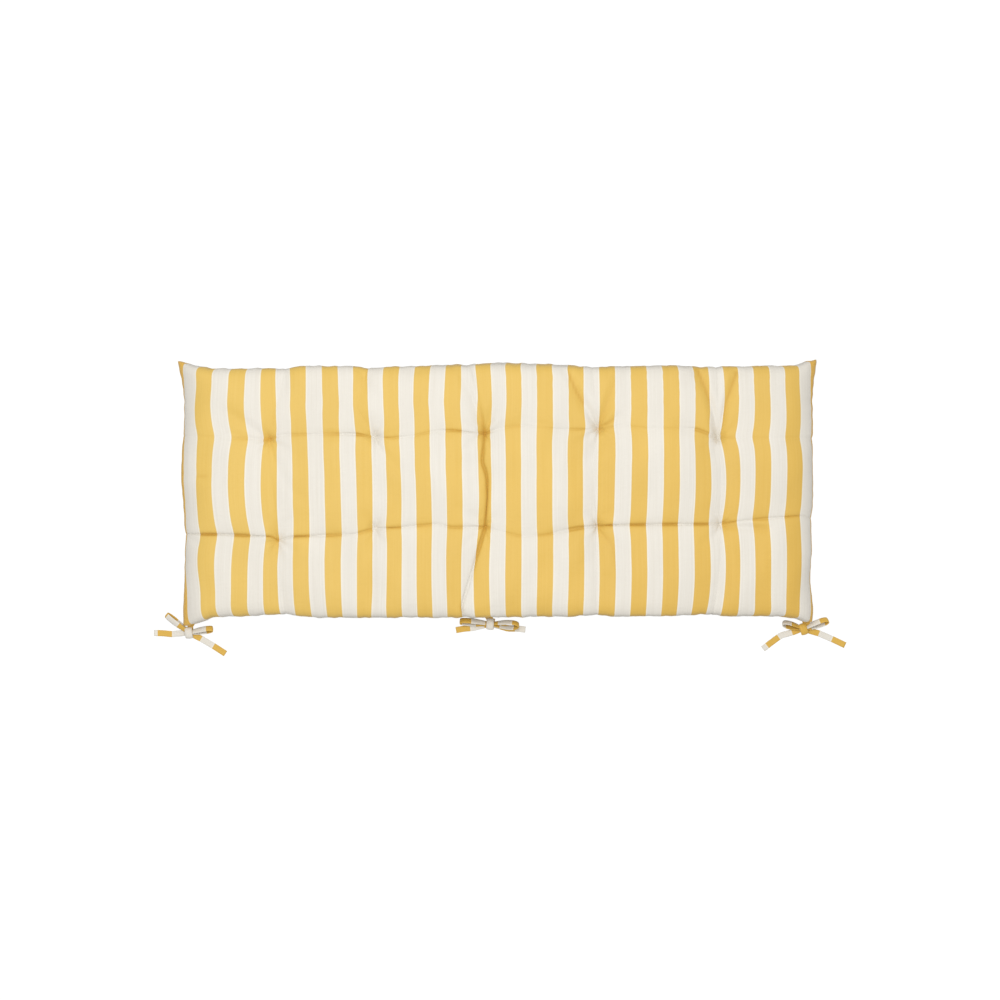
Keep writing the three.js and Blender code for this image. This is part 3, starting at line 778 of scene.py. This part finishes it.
def curve_through(points, count):
    """Evenly numbered places on a smooth curve through the points: cubics whose slope at each point is half the
    step between its neighbours."""
    points = np.array(points, float)
    ends = np.concatenate([[2 * points[0] - points[1]], points, [2 * points[-1] - points[-2]]])
    place = np.linspace(0, len(points) - 1, count)
    piece = np.minimum(place.astype(int), len(points) - 2)
    share = (place - piece)[:, None]
    before, start, end, after = (ends[piece + k] for k in range(4))
    first, last = (end - before) / 2, (after - start) / 2
    cube, square = share**3, share**2
    return (
        (2 * cube - 3 * square + 1) * start
        + (cube - 2 * square + share) * first
        + (3 * square - 2 * cube) * end
        + (cube - square) * last
    )


def unit(vectors):
    """Vectors brought to a length of one."""
    return vectors / np.maximum(np.linalg.norm(vectors, axis=-1, keepdims=True), 1e-9)


def tape(path, across, width, phase_at_end, cup=TIE_CUP):
    """A flat sewn tape along a path: a rounded strip, a little hollowed over its width, set square to the path
    at each of its points. Returns points, faces, panel places and the length, in millimetres."""
    step = np.linalg.norm(np.diff(path, axis=0), axis=1)
    along = np.concatenate([[0], np.cumsum(step)])
    tangent = unit(np.gradient(path, axis=0))
    normal = unit(np.cross(tangent, across))
    across = np.cross(normal, tangent)
    side = np.array([-1, -0.96, -0.5, 0, 0.5, 0.96, 1, 0.96, 0.5, 0, -0.5, -0.96]) / 2
    face = np.array([0, 1, 1, 1, 1, 1, 0, -1, -1, -1, -1, -1]) / 2
    width = np.broadcast_to(width, along.shape)[:, None]
    lift = TIE_THICKNESS * face - cup * (1 - 4 * side**2)
    points = (
        path[:, None] + across[:, None] * (side * width)[:, :, None] + normal[:, None] * lift[None, :, None]
    )
    ring, rows = len(side), len(path)
    number = np.arange(rows * ring).reshape(rows, ring)
    around = np.roll(number, -1, axis=1)
    quads = np.stack([number[:-1], number[1:], around[1:], around[:-1]], axis=-1).reshape(-1, 4)
    faces = [*quads.tolist(), number[0].tolist(), number[-1, ::-1].tolist()]
    phase = np.broadcast_to((along - along[-1] + phase_at_end)[:, None], (rows, ring))
    places = np.stack([phase, side * width], axis=-1)
    return points.reshape(-1, 3), faces, places.reshape(-1, 2), along[-1]


def plan_axes(degrees):
    """Unit vectors along a direction in plan and across it."""
    turn = math.radians(degrees)
    return np.array([math.cos(turn), math.sin(turn), 0]), np.array([-math.sin(turn), math.cos(turn), 0])


def pinched(share):
    """The tape's width, pinched where the share is zero, in the knot, and full from a share of one."""
    return TIE_WIDTH * (PINCH + (1 - PINCH) * np.clip(share, 0, 1))


def loop_tape(bow, loop):
    """A bow's loop: a teardrop whose length is a sine and whose opening is a double sine of one parameter,
    tilted about its own length. It sinks from the knot towards the floor by a power of the sine."""
    out, side = plan_axes(loop.turn)
    tilt = math.radians(loop.tilt)
    across = side * math.cos(tilt) + UP * math.sin(tilt)
    over = np.cross(out, across)
    turn = np.linspace(0, math.pi, LOOP_STEPS)[:, None]
    rest = TIE_THICKNESS + 1.2 + 0.5 * (abs(math.sin(tilt)) * TIE_WIDTH + loop.opening * abs(math.cos(tilt)))
    path = (
        np.array([bow.x, bow.y, KNOT_HEIGHT])
        + out * loop.length * np.sin(turn)
        - over * loop.opening / 2 * np.sin(2 * turn)
        - UP * (KNOT_HEIGHT - rest) * np.sin(turn) ** 1.5
    )
    return tape(path, np.broadcast_to(across, path.shape), pinched(np.sin(turn[:, 0]) * 2.2), loop.phase)


def tail_tape(bow, tail):
    """A free end: from under the knot down to the floor, out along its points and a little lifted at its end."""
    (bend_x, bend_y), (end_x, end_y) = tail.line
    low = TIE_THICKNESS / 2 + FLOOR_GAP
    high = KNOT_HEIGHT - 2
    offsets = (
        (0, 0, high),
        (bend_x * 0.3, bend_y * 0.3, high * 0.85),
        (bend_x * 0.75, bend_y * 0.75, low + 0.8),
        (bend_x, bend_y, low),
        ((bend_x + end_x) / 2, (bend_y + end_y) / 2 + 0.6, low),
        (end_x, end_y, low + FLOOR_GAP),
    )
    path = curve_through([(bow.x + x, bow.y + y, z) for x, y, z in offsets], TAIL_STEPS)
    across = unit(np.cross(UP, unit(np.gradient(path, axis=0))))
    return tape(path, across, pinched(np.linspace(0, 4, len(path))), tail.phase)


def lead_tape(bow, aside):
    """The short stretch from the seam into the knot."""
    x, y = bow.lead
    start, middle, end = LEAD_HEIGHTS
    corners = (
        (x + aside, y + 6, start),
        (x + aside, y, middle),
        ((x + bow.x) / 2, (y + bow.y) / 2, end),
        (bow.x, bow.y, KNOT_HEIGHT),
    )
    path = curve_through(corners, LEAD_STEPS)
    across = np.broadcast_to(np.array([1.0, 0, 0]), path.shape)
    return tape(path, across, TIE_WIDTH * np.linspace(*LEAD_WIDTHS, len(path)), LEAD_PHASE)


def knot_tape(bow):
    """The turn of tape round the bow's middle: an ellipse, drifting along the bow and cupped, turned in plan by
    the knot's own angle."""
    angle = np.linspace(-KNOT_OVERLAP, 2 * math.pi + KNOT_OVERLAP, KNOT_STEPS)[:, None]
    wide, cross = plan_axes(bow.knot_turn)
    path = (
        np.array([bow.x, bow.y, KNOT_HEIGHT])
        + cross * (KNOT_REACH[0] * np.cos(angle))
        + UP * (KNOT_REACH[1] * np.sin(angle))
        + wide * np.linspace(-KNOT_DRIFT, KNOT_DRIFT, len(angle))[:, None]
    )
    return tape(path, np.broadcast_to(wide, path.shape), TIE_WIDTH * KNOT_WIDTH, bow.knot_phase, KNOT_CUP)


def join_tapes(name, tapes):
    """One object from several tapes, with the panel places kept, and the length of them all."""
    points, faces, places, lengths = zip(*tapes)
    starts = np.cumsum([0, *map(len, points)])
    faces = [[start + k for k in face] for start, part in zip(starts.tolist(), faces) for face in part]
    made = mesh_object(name, np.concatenate(points) * MM, faces)
    set_uv(made, "panel", np.concatenate(places) * MM)
    return made, sum(lengths)


def make_ties(colours):
    """Both ties of each bow, as laid flat tape. The first passes through the knot and the second round it."""
    # The ties' stripes are darker, partly a deeper dye and partly painted shade
    cloth = striped_cloth("striped_tie", colours, TIE_STRIPE, 0, TIE_DYE_AND_SHADE, painted_light=False)
    made = []
    for bow in BOWS:
        pair = (
            ("a", -LEAD_ASIDE, (), bow.left_loop, bow.right_tail),
            ("b", LEAD_ASIDE, (knot_tape(bow),), bow.right_loop, bow.left_tail),
        )
        for letter, aside, knot, loop, tail in pair:
            tapes = (lead_tape(bow, aside), *knot, loop_tape(bow, loop), tail_tape(bow, tail))
            piece, length = join_tapes(f"bow_{bow.side}_{letter}", tapes)
            piece.data.materials.append(cloth)
            made.append((piece, f"tie_{bow.side}_{letter}", length))
    return made


class Nodes:
    """Short calls for a material's node tree."""

    def __init__(self, name):
        self.material = bpy.data.materials.new(name)
        self.material.use_nodes = True
        self.tree = self.material.node_tree
        self.tree.nodes.clear()

    def add(self, kind, inputs=(), **settings):
        """Adds a node. inputs are pairs of a socket's name or number and a value or another node's output."""
        node = self.tree.nodes.new(kind)
        for key, value in settings.items():
            setattr(node, key, value)
        for key, value in inputs:
            if isinstance(value, bpy.types.NodeSocket):
                self.tree.links.new(value, node.inputs[key])
            else:
                node.inputs[key].default_value = value
        return node

    def math(self, operation, *values, clamp=False):
        """The output of one Math node."""
        node = self.add("ShaderNodeMath", list(enumerate(values)), operation=operation, use_clamp=clamp)
        return node.outputs[0]

    def mix(self, share, first, second, blend="MIX"):
        """Two colours blended by a share."""
        sockets = ((0, share), (6, first), (7, second))
        return self.add("ShaderNodeMix", sockets, data_type="RGBA", blend_type=blend).outputs[2]

    def grey(self, value):
        """A grey of the given brightness."""
        return self.add("ShaderNodeCombineColor", [(channel, value) for channel in range(3)]).outputs[0]

    def noise(self, vector, scale, detail=2.0, roughness=0.5):
        """Soft noise from 0 to 1."""
        pairs = (("Vector", vector), ("Scale", scale), ("Detail", detail), ("Roughness", roughness))
        return self.add("ShaderNodeTexNoise", pairs).outputs["Fac"]

    def stretched(self, vector, scale):
        """The vector with each axis scaled."""
        return self.add("ShaderNodeMapping", (("Vector", vector), ("Scale", scale))).outputs[0]

    def finish(self, inputs):
        """Ends the tree in a surface with the given inputs."""
        shader = self.add("ShaderNodeBsdfPrincipled", inputs).outputs[0]
        self.add("ShaderNodeOutputMaterial", (("Surface", shader),))
        return self.material


def opaque(colour):
    """An RGB colour with an alpha of one."""
    return (*colour[:3], 1.0)


# The cover's flat panel: the pitch of its stripes, where a yellow one starts, its middle and height, and the band
# along each side seam in which the yellow is deeper, painted shade of the steep sides
STRIPE_PITCH, FIRST_STRIPE = 60.5, 40.25
PANEL_MIDDLE, PANEL_HEIGHT = 630, PANEL_V[0]
SIDE_SHADE_BAND = 12

# The yellow's tints in painted light and in painted shade, how the painted shade rises with the width and falls
# with the height, the steepness of the side bands' edges, and the share of painted shade in the folds
LIT_TINT = (0.995, 1.0, 1.10, 1)
SHADE_TINT = (0.945, 0.875, 0.72, 1)
SHADE_RISE, SHADE_FALL = 0.5, 0.6
SIDE_SHADE_EDGE, FOLD_SHADE = 300.0, 0.8

# Steepness of the stripes' edges and of the bleached yarns beside them, and how far these lie off the edge
STRIPE_EDGE, BORDER_EDGE, BORDER_PLACE = 12.0, 7.0, 0.16

# Texture: how the noises of yarns, bands of yarns and wrinkles are stretched over the panel, the scale, darkest
# shade and range of soft clouds, the pitch of the weave and the heights of the relief, in metres
YARNS, YARN_BANDS, WRINKLES = (1400, 40, 1), (360, 5, 1), (30, 120, 1)
CLOUDS, CLOUD_DARKEST, CLOUD_RANGE = 9.0, 0.95, 0.10
WEAVE_PITCH, WEAVE_HEIGHT, YARN_HEIGHT, WRINKLE_HEIGHT = 0.0011, 0.00006, 0.00010, 0.0008


def yellow_with_painted_light(n, u, v, yellow, colours):
    """The cover's yellow with painted light and shade: paler as if lit towards the left back, deeper in painted
    shade towards the right front, by the share of the width times one less a share of the height, deeper along the
    side seams as painted shade of the steep sides, and darker in the folds as painted shade."""
    # Painted light and shade: paler on the left and back, deeper towards the right front
    shade_share = n.math("MULTIPLY", u, SHADE_RISE / (PANEL_MIDDLE * MM))
    front = n.math("MULTIPLY_ADD", v, -SHADE_FALL / (PANEL_HEIGHT * MM), 1.0)
    shade_share = n.math("MULTIPLY", shade_share, front, clamp=True)
    yellow = n.mix(1.0, yellow, n.mix(shade_share, LIT_TINT, SHADE_TINT), "MULTIPLY")
    away = n.math("ABSOLUTE", n.math("SUBTRACT", u, PANEL_MIDDLE * MM))
    # Painted shade of the steep sides: a band of deeper yellow along each side seam
    side = n.math("SUBTRACT", away, (PANEL_MIDDLE - SIDE_SHADE_BAND) * MM)
    yellow = n.mix(n.math("MULTIPLY", side, SIDE_SHADE_EDGE, clamp=True), yellow, opaque(colours.side_shade_stripe))
    # Painted shade in the folds: a dark brownish yellow along their lines
    line = n.add("ShaderNodeAttribute", attribute_name="painted_fold_shade").outputs["Fac"]
    return n.mix(n.math("MULTIPLY", line, FOLD_SHADE, clamp=True), yellow, opaque(colours.fold_shade_stripe))


def striped_cloth(name, colours, pitch=STRIPE_PITCH, first=FIRST_STRIPE, depth=(1, 1, 1), painted_light=True):
    """Cotton in plain weave with woven stripes: the sign of a sine across the panel gives the stripe, whose
    colour is multiplied by its dye's depth, for the ties partly painted shade. The weave's relief is a product of
    two sines."""
    n = Nodes(name)
    panel = n.add("ShaderNodeUVMap", uv_map="panel").outputs[0]
    split = n.add("ShaderNodeSeparateXYZ", ((0, panel),))
    u, v = split.outputs[0], split.outputs[1]
    turn = n.math("MULTIPLY", n.math("SUBTRACT", u, first * MM), 2 * math.pi / (pitch * MM))
    wave = n.math("SINE", turn)
    yarn = n.noise(n.stretched(panel, YARNS), 1.0, 3.0, 0.6)
    band = n.noise(n.stretched(panel, YARN_BANDS), 1.0, 2.0, 0.6)
    streak = n.math("MULTIPLY_ADD", yarn, 0.4, n.math("MULTIPLY_ADD", band, 1.2, -0.3), clamp=True)
    beside = n.math("ABSOLUTE", n.math("ADD", wave, BORDER_PLACE))
    border = n.math("SUBTRACT", 1.0, n.math("MULTIPLY", beside, BORDER_EDGE), clamp=True)
    stripe = n.math("ADD", n.math("MULTIPLY", wave, STRIPE_EDGE), 0.5, clamp=True)
    dyes_and_shades = (colours.stripe, colours.stripe_streak)
    # For the ties the depth is partly a deeper dye and partly painted shade
    yellow = n.mix(streak, *(opaque([part * share for part, share in zip(dye_and_shade, depth)]) for dye_and_shade in dyes_and_shades))
    # Painted light and shade on the cover's yellow
    if painted_light:
        yellow = yellow_with_painted_light(n, u, v, yellow, colours)
    cream = n.mix(streak, opaque(colours.ground), opaque(colours.ground_streak))
    cream = n.mix(border, cream, opaque(colours.border))
    shade = n.math("MULTIPLY_ADD", n.noise(panel, CLOUDS, 3.0), CLOUD_RANGE, CLOUD_DARKEST)
    colour = n.mix(1.0, n.mix(stripe, cream, yellow), n.grey(shade), "MULTIPLY")
    across, along = (n.math("SINE", n.math("MULTIPLY", place, 2 * math.pi / WEAVE_PITCH)) for place in (u, v))
    weave = n.math("MULTIPLY", n.math("MULTIPLY", across, along), WEAVE_HEIGHT)
    height = n.math("ADD", weave, n.math("MULTIPLY", streak, YARN_HEIGHT))
    wrinkle = n.noise(n.stretched(panel, WRINKLES), 1.0, 2.0, 0.5)
    height = n.math("ADD", height, n.math("MULTIPLY", wrinkle, WRINKLE_HEIGHT))
    bump = n.add("ShaderNodeBump", (("Height", height), ("Strength", 0.6), ("Distance", 1.0)))
    finish = (("Roughness", 0.62), ("Sheen Weight", 0.12), ("Sheen Roughness", 0.5), ("Specular IOR Level", 0.5))
    return n.finish((("Base Color", colour), ("Normal", bump.outputs[0]), *finish))


class CushionColours(bpy.types.PropertyGroup):
    """Colours of the cotton."""

    stripe: tint("Stripe", "Yellow of the stripes", (0.688, 0.447, 0.079))
    stripe_streak: tint("Stripe yarn", "Paler yarns in the stripes", (0.733, 0.496, 0.111))
    # Painted shade of the steep sides: the yellow along the side seams
    side_shade_stripe: tint("Side stripe", "Deeper yellow along the two side seams", (0.760, 0.445, 0.062))
    # Painted shade: the yellow deep in the folds
    fold_shade_stripe: tint("Fold stripe", "Shaded yellow deep in the folds", (0.530, 0.290, 0.026))
    ground: tint("Ground", "Cream between the stripes", (0.672, 0.628, 0.548))
    ground_streak: tint("Ground yarn", "Paler yarns between the stripes", (0.752, 0.718, 0.648))
    border: tint("Border yarn", "Bleached yarns beside each stripe", (0.785, 0.745, 0.640))


class StudioSettings(bpy.types.PropertyGroup):
    """Light and camera of the studio."""

    camera_height: metres("Camera height", "Height of the camera over the cushion", 4.0)
    key: bpy.props.FloatProperty(name="Key light", description="Power of the large soft light", default=38.8)


# Camera: metres across the picture at EDGE_HEIGHT and the picture's middle in millimetres
VIEW_WIDTH, VIEW_MIDDLE = 1.872, (5.6, -15.9)
EDGE_HEIGHT, SENSOR_WIDTH = 0.035, 36

# Light, sky and the two planes under the cushion, in metres
KEY_PLACE, KEY_AIM, KEY_SIZE = (-0.15, 0.38, 2.5), (0, 0.05, 0), 1.5
SKY = 0.66
PLANE_REACH, FLOOR_DEPTH, GROUND_DEPTH = 6, 0.0002, 0.0005


def stage_plane(name, depth, nodes, inputs):
    """A wide, level and matt square at a depth under the cushion."""
    corners = [(x * PLANE_REACH, y * PLANE_REACH, 0) for x, y in ((-1, -1), (1, -1), (1, 1), (-1, 1))]
    made = mesh_object(name, corners, [(0, 1, 2, 3)], smooth=False)
    made.location.z = -depth
    made.data.materials.append(nodes.finish((*inputs, ("Roughness", 0.95))))
    return made


def make_studio(settings):
    """A pale floor that glows for the camera alone, a ground that throws light back, a large soft light above
    the rear left, an even sky and the camera overhead."""
    scene = bpy.context.scene
    n = Nodes("studio_floor")
    grain = n.noise(n.add("ShaderNodeTexCoord").outputs["Object"], 3.0)
    pale = n.grey(n.math("MULTIPLY_ADD", grain, 0.01, 0.12))
    glow = (("Emission Color", (1, 1, 1, 1)), ("Emission Strength", 0.93))
    floor = stage_plane("floor", FLOOR_DEPTH, n, (("Base Color", pale), ("Specular IOR Level", 0.0), *glow))
    floor.visible_diffuse = floor.visible_glossy = False
    ground = stage_plane("ground", GROUND_DEPTH, Nodes("studio_ground"), (("Base Color", (0.8, 0.8, 0.8, 1)),))
    data = bpy.data.lights.new("key", "AREA")
    data.shape = "SQUARE"
    data.size = KEY_SIZE
    data.energy = settings.key
    light = in_scene("key", data)
    light.location = KEY_PLACE
    light.rotation_euler = (Vector(KEY_AIM) - Vector(KEY_PLACE)).to_track_quat("-Z", "Y").to_euler()
    world = bpy.data.worlds.new("studio")
    scene.world = world
    world.use_nodes = True
    background = world.node_tree.nodes["Background"]
    background.inputs["Color"].default_value = (1, 1, 1, 1)
    background.inputs["Strength"].default_value = SKY
    data = bpy.data.cameras.new("camera")
    data.sensor_width = SENSOR_WIDTH
    data.lens = SENSOR_WIDTH * (settings.camera_height - EDGE_HEIGHT) / VIEW_WIDTH
    camera = in_scene("camera", data)
    camera.location = (VIEW_MIDDLE[0] * MM, VIEW_MIDDLE[1] * MM, settings.camera_height)
    scene.camera = camera
    scene.view_settings.view_transform = "Standard"


class CUSHION_OT_cover(bpy.types.Operator):
    """Makes the filled, tufted cover"""

    bl_idname = "cushion.cover"
    bl_label = "Filled cover"

    def execute(self, context):
        cover = make_cover(context.scene.cushion_sizes, context.scene.cushion_colours)
        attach(cover, "root")
        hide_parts("cushion")
        return {"FINISHED"}


class CUSHION_OT_bows(bpy.types.Operator):
    """Ties the three bows along the front seam"""

    bl_idname = "cushion.bows"
    bl_label = "Bows"

    def execute(self, context):
        for piece, node, length in make_ties(context.scene.cushion_colours):
            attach(piece, "root")
            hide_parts(node)
        return {"FINISHED"}


class CUSHION_OT_studio(bpy.types.Operator):
    """Sets up the floor, the light and the camera"""

    bl_idname = "cushion.studio"
    bl_label = "Studio"

    def execute(self, context):
        make_studio(context.scene.cushion_studio)
        return {"FINISHED"}


class CUSHION_PT_panel(bpy.types.Panel):
    """Lists the pieces of the cushion"""

    bl_label = "Bench cushion"
    bl_idname = "CUSHION_PT_panel"
    bl_space_type = "VIEW_3D"
    bl_region_type = "UI"
    bl_category = "Cushion"

    def draw(self, context):
        for group in (context.scene.cushion_sizes, context.scene.cushion_colours, context.scene.cushion_studio):
            box = self.layout.box()
            for name in group.__annotations__:
                box.prop(group, name)
        for operator in OPERATORS:
            self.layout.operator(operator.bl_idname)


OPERATORS = (CUSHION_OT_cover, CUSHION_OT_bows, CUSHION_OT_studio)
GROUPS = {
    "cushion_sizes": CushionSizes,
    "cushion_colours": CushionColours,
    "cushion_studio": StudioSettings,
}


def register():
    """Registers the classes and hangs the property groups on the scene."""
    for cls in (*GROUPS.values(), *OPERATORS, CUSHION_PT_panel):
        bpy.utils.register_class(cls)
    for name, group in GROUPS.items():
        setattr(bpy.types.Scene, name, bpy.props.PointerProperty(type=group))


def unregister():
    """Takes the property groups and classes away again."""
    for name in GROUPS:
        delattr(bpy.types.Scene, name)
    for cls in (CUSHION_PT_panel, *reversed(OPERATORS), *GROUPS.values()):
        bpy.utils.unregister_class(cls)


def main():
    """Makes every piece in order."""
    register()
    bpy.ops.cushion.studio()
    bpy.ops.cushion.cover()
    bpy.ops.cushion.bows()


if __name__ == "__main__":
    main()
